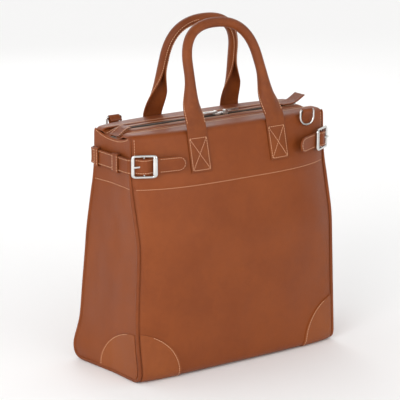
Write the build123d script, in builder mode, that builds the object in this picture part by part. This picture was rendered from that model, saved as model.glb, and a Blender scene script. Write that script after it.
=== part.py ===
from build123d import *
from math import cos, radians, sin
import os

# A tote-style leather briefcase, in millimetres.
# The origin is the middle of the base, on the floor. The front looks along -Y, and +Z is up.

# ---- case body ----
case_width = 392.0          # between the two piping centre lines
case_height = 400.0
top_half_depth = 53.0       # half of the gusset's depth at its top edge
waist_half_depth = 55.0     # the same, at the foot of the straight top band
waist_height = 318.0
hip_half_depth = 77.0       # the same, where the gusset stops spreading
hip_height = 225.0
base_half_depth = 88.0
top_swell = 16.0            # how far the middle of a panel stands out past its ends
waist_swell = 34.0
hip_swell = 25.0
base_swell = 10.0
shoulder_fullness = 0.86    # share of the swell beside the handle tabs
shoulder_station = 112.0    # distance of that place from the middle
top_round = 12.0            # rolled edge along the top
bend_round = 220.0          # soft bends of the waist and the hip
base_round = 18.0           # turn from a panel into the base
panel_wall = 3.0            # leather with its backing
base_seam = 60.0            # distance of the two base seams from the middle
top_edge = 28.0             # distance of the folded top edges from the zip

# ---- seams, patches, linings ----
seam_gap = 0.2              # stitching room between two pieces sewn together
piping_diameter = 6.0
gusset_wall = 3.0
gusset_dip = 8.0            # sag of the gusset's top edge in its middle
patch_wall = 1.5
panel_patch_width = 68.0
gusset_patch_width = 86.0
patch_height = 80.0
board_wall = 2.4
lining_wall = 1.2
facing_wall = 1.5
facing_foot = 313.0         # height of the stitch line that holds the facings
facing_head = 386.0

# ---- zip ----
zip_half_length = 178.0
strip_half_length = 187.0
strip_wall = 1.5
strip_inner_edge = 8.0
strip_rise = 5.2            # the strip lifts this much from the panel to the zip
strip_tuck = 8.0            # how far the strip reaches under the panel's folded edge
strip_bend_gap = 1.5        # room between that edge and the strip's first bend
strip_flat = 11.0           # width of the strip's raised part beside the zip
tape_wall = 0.8
tape_width = 17.0
coil_height = 2.4
coil_width = 2.1
coil_parting = 1.8          # room between the two coils for the slider's post
slider_length = 15.0
slider_width = 11.0
slider_plate = 1.5
slider_post = 1.2
slider_gap = 0.4
slider_meeting = 18.5       # where the two sliders meet, from the middle
slider_spacing = 1.0
slider_taper = 82.0         # degrees, angle of the slider's two long sides
slider_flange = 1.1         # wall that holds the coil on each side
bail_pin_radius = 0.9
bail_lift = 2.0             # height of the pull's pin above the slider's roof
bail_setback = 1.5
bail_bore_gap = 0.06
ear_wall = 1.0              # the two ears that hold the pull's pin
ear_gap = 0.3
pull_length = 27.0
pull_neck = 5.0             # length between the pin and the wide part of the pull
pull_width = 9.0
pull_wall = 1.8
end_tab_wall = 2.4
end_tab_width = 26.0
end_tab_length = 46.0
end_tab_flat = 23.0         # stretch of the right tab that lies on the zip
end_tab_lift = 12.0

# ---- handles ----
tab_spacing = 158.0         # between the centres of one handle's two tabs
tab_width = 38.0
tab_foot = 333.0
tab_head = 391.0
tab_wall = 2.8
hinge_height = 396.5
hinge_half_depth = 73.5
handle_lean = 17.0          # degrees, towards the zip
handle_rise = 172.0         # from the hinge to the top of the arch, along the lean
handle_neck = 64.0          # radius of the arch
handle_leg_draw = 9.0       # how far each leg draws in on its way to the arch
handle_diameter = 17.0
rope_diameter = 11.8
rope_gap = 0.1
strap_end_wall = 4.6
strap_end_gap = 4.0         # between the hinge line and the first of the strap
strap_roll_start = 92.0     # where the flat strap has become a full roll

# ---- cinch straps ----
cinch_height = 352.0
cinch_width = 25.0
cinch_wall = 2.6
cinch_gap = 0.4             # between the piping and the strap
cinch_turn = 28.0           # degrees, how far the front run stands off the panel
cinch_back_run = 34.0
buckle_place = 22.0         # from the corner to the buckle's centre bar
buckle_length = 42.0
buckle_height = 38.0
buckle_rail = 4.2
buckle_end_bar = 6.5
buckle_wall = 3.4
buckle_round = 5.0
bar_radius = 1.5
bar_depth = 1.6             # the centre bar lies this much behind the frame's middle
chape_wall = 1.4
chape_gap = 0.06
chape_length = 18.5
chape_width = 22.0
threading_gap = 0.3
threading_lead = 1.5        # the strap bends this far inside each end bar
threading_bend = 4.0        # radius of the strap's bends in the buckle
bar_lead = 1.0              # and this far from the leather round the centre bar
prong_radius = 1.3
prong_gap = 0.06
prong_slot = 4.4
prong_bend = 3.0
slot_shift = 1.0            # the slot lies this much past the middle of its half
tip_gap = 1.0               # each side of the line where the free tip lifts
tip_length = 50.0           # from the buckle's end bar to the end of the tip
tip_lay = {"left": 17.0, "right": 3.0}   # degrees back towards the panel
keeper_wall = 1.8
keeper_width = 17.0
keeper_place = -19.0
rear_loop_place = 36.0
rear_loop_width = 12.0

# ---- D-rings ----
ring_wire = 3.4
ring_width = 31.0
ring_drop = 24.0
ring_place = 144.0
ring_height = 405.0
ring_half_depth = 73.0
ring_chape_width = 20.0
ring_chape_wall = 2.0
ring_chape_foot = 379.0
ring_chape_head = 395.0
ring_chape_lead = 1.0       # start of the fold, behind the ring's wire
ring_bore_gap = 0.06

piping_radius = piping_diameter / 2
seam_reach = piping_radius + seam_gap
panel_end = case_width / 2 - seam_reach
gusset_face = case_width / 2 + gusset_wall / 2
gusset_inset = piping_diameter + seam_gap
patch_inset = gusset_inset + 1.0
corner_y = top_half_depth + (waist_half_depth - top_half_depth) * (
    (case_height - cinch_height) / (case_height - waist_height)
)


def half_outline(fullness, inset, floor=None):
    """One side of the case seen from its end, from the top down, as (depth, height) pairs."""
    return [
        (top_half_depth + fullness * top_swell - inset, case_height - inset),
        (waist_half_depth + fullness * waist_swell - inset, waist_height),
        (hip_half_depth + fullness * hip_swell - inset, hip_height),
        (base_half_depth + fullness * base_swell - inset, inset if floor is None else floor),
    ]


def outline_rounds(inset):
    """Rounding of the four corners of half an outline, from the top down."""
    return [top_round - inset, bend_round, bend_round, base_round - inset]


def draw_outline(fullness, inset, floor=None, mode=Mode.ADD):
    """Whole end outline, drawn into the open sketch."""
    side = half_outline(fullness, inset, floor)
    points = [(-y, z) for y, z in side] + [(y, z) for y, z in reversed(side)]
    rounds = outline_rounds(inset)
    with BuildLine(mode=Mode.PRIVATE) as outline:
        FilletPolyline(*points, radius=rounds + rounds[::-1], close=True)
    make_face(outline.edges(), mode=mode)


def body_form(inset, half_length=panel_end, floor=None):
    """Full body between the gussets, this far inside the outer face of the leather."""
    stations = [
        (-half_length, 0.0),
        (-shoulder_station, shoulder_fullness),
        (0.0, 1.0),
        (shoulder_station, shoulder_fullness),
        (half_length, 0.0),
    ]
    with BuildPart() as form:
        for x, fullness in stations:
            with BuildSketch(Plane.YZ.offset(x)):
                draw_outline(fullness, inset, floor)
        loft()
    return form.part


def finish(part, name):
    """Name a finished piece and write its file."""
    part.label = name
    export_step(part, f"parts/{name}.step")
    print(f"{name}: {part.volume:.0f} mm3")


def mirrored(part, plane):
    """Copy of a piece for the other side of the case."""
    with BuildPart() as other:
        add(mirror(part, about=plane, mode=Mode.PRIVATE))
    return other.part


def finish_front_and_back(part, name):
    """Write a piece for the front, and its twin for the back."""
    finish(part, f"front_{name}")
    finish(mirrored(part, Plane.XZ), f"back_{name}")


def finish_left_and_right(part, name):
    """Write a piece for the left, and its twin for the right."""
    finish(part, f"left_{name}")
    finish(mirrored(part, Plane.YZ), f"right_{name}")


os.makedirs("parts", exist_ok=True)
reach = case_width
outer_form = body_form(0.0)

# ---- front, back and base panels: one wall, parted at the two base seams ----
with BuildPart() as body_wall:
    add(outer_form)
    add(body_form(panel_wall), mode=Mode.SUBTRACT)

with BuildPart() as front_panel:
    add(body_wall.part)
    with BuildSketch(Plane.YZ.offset(-reach / 2)):
        with BuildLine():
            Polyline(
                (-reach / 2, -seam_gap), (-base_seam, -seam_gap), (-base_seam, base_round),
                (-top_edge, base_round), (-top_edge, 2 * reach), (-reach / 2, 2 * reach),
                close=True,
            )
        make_face()
    extrude(amount=reach, mode=Mode.INTERSECT)
finish_front_and_back(front_panel.part, "panel")

with BuildPart() as base_panel:
    with BuildSketch(Plane.XY):
        Rectangle(2 * panel_end, 2 * base_seam)
    extrude(amount=panel_wall)
finish(base_panel.part, "base_panel")

# ---- gussets: a flat end with a top edge that sags in its middle ----
dip_half_width = top_half_depth - gusset_inset
dip_radius = (dip_half_width**2 + gusset_dip**2) / (2 * gusset_dip)
with BuildPart() as gusset:
    with BuildSketch(Plane.YZ.offset(-gusset_face)):
        draw_outline(0.0, gusset_inset)
        with Locations((0, case_height - gusset_inset - gusset_dip + dip_radius)):
            Circle(dip_radius, mode=Mode.SUBTRACT)
    extrude(amount=gusset_wall)
finish_left_and_right(gusset.part, "gusset")

# ---- piping: a cord of leather round the seam of each gusset ----
with BuildPart() as piping:
    side = half_outline(0.0, piping_radius)
    side[0] = (side[0][0], case_height - top_round)
    bead_points = [(-y, z) for y, z in side] + [(y, z) for y, z in reversed(side)]
    bead_rounds = outline_rounds(piping_radius)[1:]
    with BuildLine(Plane.YZ.offset(-case_width / 2)) as bead_path:
        FilletPolyline(*bead_points, radius=bead_rounds + bead_rounds[::-1])
    with BuildSketch(Plane(origin=bead_path.line @ 0, z_dir=bead_path.line % 0)):
        Circle(piping_radius)
    sweep(path=bead_path.line)
finish_left_and_right(piping.part, "piping")

# ---- corner patches: one on the panel and one on the gusset at each bottom corner ----
with BuildPart() as panel_patch:
    add(body_form(-patch_wall))
    add(outer_form, mode=Mode.SUBTRACT)
    with BuildSketch(Plane.XZ.offset(base_seam)):
        with Locations((-panel_end, 0)):
            Ellipse(panel_patch_width, patch_height)
            Rectangle(
                panel_patch_width, patch_height,
                align=(Align.MIN, Align.MIN), mode=Mode.INTERSECT,
            )
    extrude(amount=reach, mode=Mode.INTERSECT)

with BuildPart() as gusset_patch:
    with BuildSketch(Plane.YZ.offset(-gusset_face)):
        with Locations((-base_half_depth, 0)):
            Ellipse(gusset_patch_width, patch_height)
        draw_outline(0.0, patch_inset, mode=Mode.INTERSECT)
    extrude(amount=-patch_wall)

for piece, piece_name in ((panel_patch, "panel_patch"), (gusset_patch, "gusset_patch")):
    finish_left_and_right(piece.part, f"front_{piece_name}")
    finish_left_and_right(mirrored(piece.part, Plane.XZ), f"back_{piece_name}")

# ---- inside: base board, lining, and the facings behind the row of stitching ----
board_floor = panel_wall + seam_gap
board_half_depth = base_half_depth - base_round - 2 * seam_gap
with BuildPart() as base_board:
    with BuildSketch(Plane.XY.offset(board_floor)):
        RectangleRounded(2 * (panel_end - board_wall), 2 * board_half_depth, base_round / 3)
    extrude(amount=board_wall)
finish(base_board.part, "base_board")

lining_inset = panel_wall + seam_gap
lining_floor = board_floor + board_wall + seam_gap
with BuildPart() as lining:
    add(body_form(lining_inset, floor=lining_floor))
    lining_room = body_form(
        lining_inset + lining_wall, panel_end - lining_wall, lining_floor + lining_wall
    )
    add(lining_room, mode=Mode.SUBTRACT)
    split(bisect_by=Plane.XY.offset(facing_foot - seam_gap), keep=Keep.BOTTOM)
finish(lining.part, "lining")

with BuildPart() as front_facing:
    add(body_form(lining_inset))
    add(body_form(lining_inset + facing_wall), mode=Mode.SUBTRACT)
    with BuildSketch(Plane.XY.offset(facing_foot)):
        Rectangle(reach, reach, align=(Align.CENTER, Align.MAX))
    extrude(amount=facing_head - facing_foot, mode=Mode.INTERSECT)
finish_front_and_back(front_facing.part, "facing")

with BuildPart() as left_facing:
    with BuildSketch(Plane.YZ.offset(-panel_end - facing_wall)):
        draw_outline(0.0, gusset_inset + seam_gap)
        with Locations((0, facing_foot)):
            Rectangle(
                reach, facing_head - facing_foot - gusset_dip,
                align=(Align.CENTER, Align.MIN), mode=Mode.INTERSECT,
            )
    extrude(amount=facing_wall)
finish_left_and_right(left_facing.part, "facing")

# ---- zip: leather strips, tapes, coils and the tabs that close its two ends ----
strip_foot = case_height - panel_wall - seam_gap - strip_wall / 2
strip_head = strip_foot + strip_rise
with BuildPart() as zip_strip:
    with BuildSketch(Plane.YZ.offset(-strip_half_length)):
        with BuildLine():
            FilletPolyline(
                (-top_edge - strip_tuck, strip_foot), (-top_edge + strip_bend_gap, strip_foot),
                (-strip_inner_edge - strip_flat, strip_head), (-strip_inner_edge, strip_head),
                radius=strip_wall,
            )
        trace(line_width=strip_wall)
    extrude(amount=2 * strip_half_length)
finish_front_and_back(zip_strip.part, "zip_strip")

tape_head = strip_head - strip_wall / 2 - seam_gap
coil_head = tape_head + coil_height
coil_inner = coil_parting / 2
with BuildPart() as zip_tape:
    with BuildSketch(Plane.YZ.offset(-zip_half_length)):
        with Locations((-coil_inner, tape_head)):
            Rectangle(tape_width, tape_wall, align=(Align.MAX, Align.MAX))
    extrude(amount=2 * zip_half_length)
finish_front_and_back(zip_tape.part, "zip_tape")

with BuildPart() as zip_coil:
    with BuildSketch(Plane.YZ.offset(-zip_half_length)):
        with Locations((-coil_inner, tape_head)):
            Rectangle(coil_width, coil_height, align=(Align.MAX, Align.MIN))
        fillet(vertices().group_by(Axis.Y)[-1], coil_width / 3)
    extrude(amount=2 * zip_half_length)
finish_front_and_back(zip_coil.part, "zip_coil")

tab_floor = coil_head + seam_gap + end_tab_wall / 2
with BuildPart() as right_end_tab:
    with BuildSketch(Plane.XZ.offset(-end_tab_width / 2)):
        with BuildLine():
            tab_root = Line(
                (strip_half_length - end_tab_length, tab_floor),
                (strip_half_length - end_tab_length + end_tab_flat, tab_floor),
            )
            TangentArc(
                tab_root @ 1, (strip_half_length, tab_floor + end_tab_lift), tangent=tab_root % 1
            )
        trace(line_width=end_tab_wall)
    extrude(amount=end_tab_width)
finish(right_end_tab.part, "right_zip_end_tab")

with BuildPart() as left_end_tab:
    with BuildSketch(Plane.XY.offset(tab_floor - end_tab_wall / 2)):
        with Locations((-strip_half_length, 0)):
            Rectangle(end_tab_length / 2, end_tab_width, align=(Align.MIN, Align.CENTER))
        fillet(vertices().group_by(Axis.X)[-1], end_tab_width / 4)
    extrude(amount=end_tab_wall / 2)
finish(left_end_tab.part, "left_zip_end_tab")

# ---- zip sliders and their pulls, drawn for the left half of the zip ----
slider_middle = slider_meeting - slider_spacing / 2 - slider_length / 2
slider_floor = tape_head - tape_wall - slider_gap
slider_roof = coil_head + slider_gap
bail_height = slider_roof + slider_plate + bail_lift
bail_place = slider_middle - bail_setback
knuckle_half = pull_width / 4
with BuildPart() as slider:
    for plate_floor in (slider_floor - slider_plate, slider_roof):
        with BuildSketch(Plane.XY.offset(plate_floor)) as plate:
            with Locations((slider_middle, 0)):
                Trapezoid(slider_width, slider_length, slider_taper, rotation=90)
            fillet(plate.vertices(), slider_width / 5)
        extrude(amount=slider_plate)
    flange_floor = tape_head + slider_gap
    flange_outer = slider_width / 2 - slider_flange
    for side in (-1, 1):
        with BuildSketch(Plane.XY.offset(flange_floor)):
            with Locations((slider_middle, side * flange_outer)):
                Rectangle(slider_length * 0.62, slider_flange)
        extrude(amount=slider_roof - flange_floor + slider_plate / 2)
    with BuildSketch(Plane.XY.offset(slider_floor - slider_plate / 2)):
        with Locations((slider_middle + slider_length * 0.28, 0)):
            Rectangle(slider_length / 4, slider_post)
    extrude(amount=slider_roof - slider_floor + slider_plate)
    for ear_offset in (-knuckle_half - ear_gap - ear_wall, knuckle_half + ear_gap):
        with BuildSketch(Plane.XZ.offset(ear_offset)):
            with Locations((bail_place, bail_height)):
                Circle(bail_pin_radius * 2)
            with Locations((bail_place, slider_roof + slider_plate / 2)):
                Rectangle(
                    bail_pin_radius * 4, bail_height - slider_roof - slider_plate / 2,
                    align=(Align.CENTER, Align.MIN),
                )
        extrude(amount=ear_wall)
    with BuildSketch(Plane.XZ.offset(-knuckle_half - ear_gap - ear_wall / 2)):
        with Locations((bail_place, bail_height)):
            Circle(bail_pin_radius)
    extrude(amount=2 * knuckle_half + 2 * ear_gap + ear_wall)

with BuildPart() as pull_tab:
    with BuildSketch(Plane.XY.offset(bail_height - pull_wall / 2)):
        with Locations((bail_place, 0)):
            Rectangle(pull_length * 0.3, 2 * knuckle_half, align=(Align.MAX, Align.CENTER))
        with Locations((bail_place - pull_length / 2 - pull_neck / 2, 0)):
            RectangleRounded(pull_length - pull_neck, pull_width, pull_width * 0.49)
        with Locations((bail_place - pull_length * 0.62, 0)):
            SlotOverall(pull_length * 0.42, pull_width * 0.34, mode=Mode.SUBTRACT)
    extrude(amount=pull_wall)
    with BuildSketch(Plane.XZ.offset(-knuckle_half)):
        with Locations((bail_place, bail_height)):
            Circle(bail_pin_radius * 2)
    extrude(amount=2 * knuckle_half)
    with BuildSketch(Plane.XZ.offset(-knuckle_half)):
        with Locations((bail_place, bail_height)):
            Circle(bail_pin_radius + bail_bore_gap)
    extrude(amount=2 * knuckle_half, mode=Mode.SUBTRACT)

meeting_plane = Plane.YZ.offset(slider_meeting)
for piece, piece_name in ((slider, "slider"), (pull_tab, "pull_tab")):
    finish(piece.part, f"left_{piece_name}")
    finish(mirrored(piece.part, meeting_plane), f"right_{piece_name}")

# ---- handle tabs: flat ends of the handles, sewn to the panel with a crossed box ----
with BuildPart() as handle_tab:
    add(body_form(-tab_wall))
    add(outer_form, mode=Mode.SUBTRACT)
    with BuildSketch(Plane.XZ.offset(top_edge)):
        with Locations((-tab_spacing / 2, tab_foot)):
            Rectangle(tab_width, tab_head - tab_foot, align=(Align.CENTER, Align.MIN))
    extrude(amount=reach, mode=Mode.INTERSECT)
finish_left_and_right(handle_tab.part, "front_handle_tab")
finish_left_and_right(mirrored(handle_tab.part, Plane.XZ), "back_handle_tab")

# ---- handles: a rope core in a leather cover that flattens towards the tabs ----
lean = radians(handle_lean)
handle_plane = Plane(
    origin=(0, -hinge_half_depth, hinge_height), x_dir=(1, 0, 0), z_dir=(0, -cos(lean), sin(lean))
)


def leg_point(rise):
    """Middle of the left leg at this distance along the lean."""
    return (-tab_spacing / 2 + handle_leg_draw * rise / handle_rise, rise)


arch_left = leg_point(handle_rise)
roll_left = leg_point(strap_roll_start)
arch_points = [roll_left, arch_left, (-arch_left[0], arch_left[1]), (-roll_left[0], roll_left[1])]
with BuildLine(handle_plane) as arch:
    FilletPolyline(*arch_points, radius=handle_neck)
leg_direction = arch.line % 0
roll_plane = Plane(origin=arch.line @ 0, x_dir=handle_plane.z_dir, z_dir=leg_direction)
end_origin = handle_plane.from_local_coords(Vector(*leg_point(strap_end_gap), 0))
end_plane = Plane(origin=end_origin, x_dir=handle_plane.z_dir, z_dir=leg_direction)
middle_origin = handle_plane.from_local_coords(
    Vector(*leg_point((strap_end_gap + strap_roll_start) / 2), 0)
)
middle_plane = Plane(origin=middle_origin, x_dir=handle_plane.z_dir, z_dir=leg_direction)

with BuildPart() as handle_cover:
    with BuildSketch(roll_plane):
        Circle(handle_diameter / 2)
    sweep(path=arch.line)
    with BuildSketch(roll_plane):
        Circle(rope_diameter / 2 + rope_gap)
    sweep(path=arch.line, mode=Mode.SUBTRACT)
    with BuildPart(mode=Mode.PRIVATE) as left_leg:
        with BuildSketch(end_plane):
            RectangleRounded(strap_end_wall, tab_width, strap_end_wall * 0.49)
        with BuildSketch(middle_plane):
            RectangleRounded(handle_diameter * 0.62, tab_width * 0.74, handle_diameter * 0.3)
        with BuildSketch(roll_plane):
            RectangleRounded(handle_diameter, handle_diameter, handle_diameter * 0.499)
        loft()
    add(left_leg.part)
    add(mirror(left_leg.part, about=Plane.YZ, mode=Mode.PRIVATE))
finish_front_and_back(handle_cover.part, "handle_cover")

with BuildPart() as handle_core:
    with BuildSketch(roll_plane):
        Circle(rope_diameter / 2)
    sweep(path=arch.line)
finish_front_and_back(handle_core.part, "handle_core")

# ---- cinch strap: its run round the left gusset, seen from above ----
turn = radians(cinch_turn)
bead_y = corner_y - piping_radius
strap_turn_radius = piping_radius + cinch_gap + cinch_wall / 2
strap_x = -case_width / 2 - strap_turn_radius
touch = (
    -case_width / 2 - strap_turn_radius * sin(turn),
    -bead_y - strap_turn_radius * cos(turn),
)
corner_step = (touch[0] - strap_x) / cos(turn)
front_corner = (strap_x, touch[1] + corner_step * sin(turn))
back_corner = (strap_x, -front_corner[1])
back_end = (
    strap_x + (cinch_back_run + corner_step) * cos(turn),
    back_corner[1] + (cinch_back_run + corner_step) * sin(turn),
)
under_bar = buckle_wall / 2 + threading_gap + cinch_wall / 2
chape_radius = bar_radius + chape_gap + chape_wall
over_bar = bar_depth - chape_radius - threading_gap - cinch_wall / 2
buckle_middle = (
    touch[0] + buckle_place * cos(turn) - under_bar * sin(turn),
    touch[1] - buckle_place * sin(turn) - under_bar * cos(turn),
)
buckle_plane = Plane(
    origin=(buckle_middle[0], buckle_middle[1], cinch_height),
    x_dir=(cos(turn), -sin(turn), 0),
    z_dir=(0, 0, 1),
)
end_bar_inner = buckle_length / 2 - buckle_end_bar
tip_pivot = buckle_length / 2 + tip_gap


def in_buckle(along, depth):
    """Point beside the buckle, as global X and Y."""
    point = buckle_plane.from_local_coords(Vector(along, depth, 0))
    return (point.X, point.Y)


with BuildPart() as strap:
    with BuildSketch(Plane.XY.offset(cinch_height - cinch_width / 2)):
        with BuildLine():
            FilletPolyline(
                back_end, back_corner, front_corner,
                in_buckle(threading_lead - end_bar_inner, under_bar),
                in_buckle(-chape_radius - bar_lead, over_bar),
                in_buckle(chape_radius + bar_lead, over_bar),
                in_buckle(end_bar_inner - threading_lead, under_bar),
                in_buckle(tip_pivot - tip_gap, under_bar),
                radius=[strap_turn_radius] * 2 + [threading_bend] * 4,
            )
        trace(line_width=cinch_wall)
    extrude(amount=cinch_width)
    with BuildSketch(buckle_plane.offset(-prong_slot / 2)):
        with Locations((-end_bar_inner / 2 - slot_shift, 0)):
            Rectangle(end_bar_inner + slot_shift / 2, buckle_length / 2)
    extrude(amount=prong_slot, mode=Mode.SUBTRACT)
finish_left_and_right(strap.part, "strap")

# ---- buckle: a frame with a centre bar, the leather that holds it, and its prong ----
buckle_face = Plane(
    origin=buckle_plane.origin, x_dir=buckle_plane.x_dir, z_dir=-buckle_plane.y_dir
)
with BuildPart() as buckle_frame:
    with BuildSketch(buckle_face.offset(-buckle_wall / 2)):
        RectangleRounded(buckle_length, buckle_height, buckle_round)
        RectangleRounded(
            2 * end_bar_inner, buckle_height - 2 * buckle_rail, buckle_round / 2,
            mode=Mode.SUBTRACT,
        )
    extrude(amount=buckle_wall)
    with BuildSketch(buckle_plane.offset(-buckle_height / 2 + buckle_rail / 2)):
        with Locations((0, bar_depth)):
            Circle(bar_radius)
    extrude(amount=buckle_height - buckle_rail)

chape_depth = under_bar + cinch_wall / 2 + threading_gap + chape_wall / 2
with BuildPart() as buckle_chape:
    with BuildSketch(buckle_plane.offset(-chape_width / 2)):
        with Locations((0, bar_depth)):
            Circle(chape_radius)
        with BuildLine():
            Polyline(
                (0, bar_depth + chape_radius - chape_wall / 2),
                (end_bar_inner - threading_lead, chape_depth),
                (chape_length, chape_depth),
            )
        trace(line_width=chape_wall)
        with Locations((0, bar_depth)):
            Circle(bar_radius + chape_gap, mode=Mode.SUBTRACT)
    extrude(amount=chape_width)
    with BuildSketch(buckle_plane.offset(-prong_slot / 2 - threading_gap)):
        with Locations((0, bar_depth)):
            Circle(chape_radius + threading_gap)
    extrude(amount=prong_slot + 2 * threading_gap, mode=Mode.SUBTRACT)

prong_eye = bar_radius + prong_gap + prong_radius
prong_rest = -buckle_wall / 2 - prong_radius - prong_gap
prong_end = -buckle_length / 2 + buckle_end_bar / 3
with BuildPart() as prong:
    with BuildSketch(buckle_plane.offset(-prong_radius)):
        with BuildLine():
            FilletPolyline(
                (-bar_radius - prong_radius / 2, bar_depth),
                (bar_lead - end_bar_inner, prong_rest), (prong_end, prong_rest),
                radius=prong_bend,
            )
        trace(line_width=2 * prong_radius)
        with Locations((prong_end, prong_rest)):
            Circle(prong_radius)
        with Locations((0, bar_depth)):
            Circle(prong_eye)
            Circle(bar_radius + prong_gap, mode=Mode.SUBTRACT)
    extrude(amount=2 * prong_radius)

for piece, piece_name in ((buckle_frame, "frame"), (buckle_chape, "chape"), (prong, "prong")):
    finish_left_and_right(piece.part, f"buckle_{piece_name}")

# ---- free tips of the straps: the right one stands off the panel ----
tip_origin = in_buckle(tip_pivot, under_bar)
for tip_side, lay in tip_lay.items():
    tip_turn = radians(cinch_turn - lay)
    tip_plane = Plane(
        origin=(tip_origin[0], tip_origin[1], cinch_height),
        x_dir=(cos(tip_turn), -sin(tip_turn), 0),
        z_dir=(-sin(tip_turn), -cos(tip_turn), 0),
    )
    with BuildPart() as strap_tip:
        with BuildSketch(tip_plane.offset(-cinch_wall / 2)):
            with Locations((tip_gap, 0)):
                Rectangle(
                    tip_length - cinch_width / 2 - tip_gap, cinch_width,
                    align=(Align.MIN, Align.CENTER),
                )
            with Locations((tip_length - cinch_width / 2, 0)):
                Circle(cinch_width / 2)
        extrude(amount=cinch_wall)
    tip = strap_tip.part if tip_side == "left" else mirrored(strap_tip.part, Plane.YZ)
    finish(tip, f"{tip_side}_strap_tip")

# ---- keepers: one near the front corner and one at the back corner of each gusset ----
keeper_room = -strap_x + cinch_wall / 2 + threading_gap
for loop_name, place, width in (
    ("keeper", keeper_place, keeper_width),
    ("rear_loop", rear_loop_place, rear_loop_width),
):
    with BuildPart() as keeper:
        with BuildSketch(Plane.XZ.offset(-place - width / 2)):
            with Locations((-gusset_face, cinch_height)):
                Rectangle(
                    keeper_room + keeper_wall - gusset_face,
                    cinch_width + 2 * (threading_gap + keeper_wall),
                    align=(Align.MAX, Align.CENTER),
                )
                fillet(vertices().group_by(Axis.X)[0], keeper_wall)
                Rectangle(
                    keeper_room - gusset_face, cinch_width + 2 * threading_gap,
                    align=(Align.MAX, Align.CENTER), mode=Mode.SUBTRACT,
                )
        extrude(amount=width)
    finish_left_and_right(keeper.part, loop_name)

# ---- D-rings: one at the front right and one at the back left ----
ring_half = (ring_width - ring_wire) / 2
with BuildPart() as front_ring:
    with BuildLine(Plane.XZ.offset(ring_half_depth)) as ring_path:
        FilletPolyline(
            (ring_place, ring_height), (ring_place + ring_half, ring_height),
            (ring_place + ring_half, ring_height - ring_drop), (ring_place, ring_height - ring_drop),
            radius=[ring_wire * 0.8, ring_half * 0.96],
        )
    with BuildSketch(Plane(origin=ring_path.line @ 0, z_dir=ring_path.line % 0)):
        Circle(ring_wire / 2)
    sweep(path=ring_path.line)
    mirror(about=Plane.YZ.offset(ring_place))

with BuildPart() as front_ring_chape:
    add(body_form(-ring_chape_wall))
    with BuildSketch(Plane.XZ.offset(top_edge)):
        with Locations((ring_place, ring_chape_foot)):
            Rectangle(
                ring_chape_width, ring_chape_head - ring_chape_foot,
                align=(Align.CENTER, Align.MIN),
            )
    extrude(amount=reach, mode=Mode.INTERSECT)
    with BuildSketch(Plane.YZ.offset(ring_place - ring_chape_width / 2)):
        with Locations((-ring_half_depth, ring_height)):
            Circle(ring_wire / 2 + ring_bore_gap + ring_chape_wall)
        with Locations((-ring_half_depth + ring_wire / 2 + ring_chape_lead, ring_height)):
            Rectangle(
                2 * ring_chape_wall, ring_height - case_height + top_round,
                align=(Align.MIN, Align.MAX),
            )
    extrude(amount=ring_chape_width)
    add(outer_form, mode=Mode.SUBTRACT)
    with BuildSketch(Plane.YZ.offset(ring_place - ring_chape_width)):
        with Locations((-ring_half_depth, ring_height)):
            Circle(ring_wire / 2 + ring_bore_gap)
    extrude(amount=2 * ring_chape_width, mode=Mode.SUBTRACT)

for piece, piece_name in ((front_ring, "d_ring"), (front_ring_chape, "d_ring_chape")):
    finish(piece.part, f"front_{piece_name}")
    turned = mirrored(mirrored(piece.part, Plane.XZ), Plane.YZ)
    finish(turned, f"back_{piece_name}")
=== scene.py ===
# %% [markdown]
# A leather briefcase in the tote style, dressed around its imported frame. Its front and back are
# soft hides, its ends are gussets, and two rolled handles carry it.
# The frame gives every piece its place, and rigid metal keeps its own meshes. The leather is soft,
# so it is built here: sheets are laid over the shape of the case, then given their thickness.

# %% Load the frame
import bmesh
import bpy
import math
import numpy as np
from mathutils import Matrix, Vector, noise


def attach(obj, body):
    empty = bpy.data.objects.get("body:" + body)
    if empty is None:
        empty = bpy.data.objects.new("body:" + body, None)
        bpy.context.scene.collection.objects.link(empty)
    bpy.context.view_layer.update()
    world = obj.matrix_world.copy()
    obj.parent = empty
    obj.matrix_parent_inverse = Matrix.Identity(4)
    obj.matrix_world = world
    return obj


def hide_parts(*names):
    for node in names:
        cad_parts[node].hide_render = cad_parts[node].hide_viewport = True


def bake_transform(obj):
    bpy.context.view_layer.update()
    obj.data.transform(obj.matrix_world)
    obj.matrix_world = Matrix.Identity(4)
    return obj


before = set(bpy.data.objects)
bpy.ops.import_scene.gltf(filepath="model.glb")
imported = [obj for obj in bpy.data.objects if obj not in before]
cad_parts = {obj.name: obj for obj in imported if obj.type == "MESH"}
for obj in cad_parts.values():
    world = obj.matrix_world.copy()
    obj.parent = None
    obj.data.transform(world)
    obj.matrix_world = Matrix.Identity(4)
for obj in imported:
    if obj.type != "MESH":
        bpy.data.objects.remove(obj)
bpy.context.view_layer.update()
MM = 0.001

# %% [markdown]
# The case is lofted between two end outlines: the one at the gussets, and the fuller one in the
# middle of the panels. Both are drawn with the same number of points, so any outline between
# them is a plain blend. All shape work is in millimetres, and meshes are scaled once at the end.

# %% Sizes of the case
PIPING_X = 196.0
PANEL_END = 192.8
HEIGHT = 400.0
TOP_EDGE = 28.0
BASE_SEAM = 60.0
STITCH_HEIGHT = 313.0
STRAP_HEIGHT = 352.0
STRAP_WIDTH = 25.0
LEATHER = 2.4
END_CORNERS = [(53.0, 400.0), (55.0, 318.0), (77.0, 225.0), (88.0, 0.0)]
MIDDLE_SWELL = [16.0, 34.0, 25.0, 10.0]
CORNER_ROUNDS = [12.0, 220.0, 220.0, 18.0]
SWELL_POWER = 3.7
SIDES = ((-1, "front"), (1, "back"))
ENDS = ((-1, "left"), (1, "right"))


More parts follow.
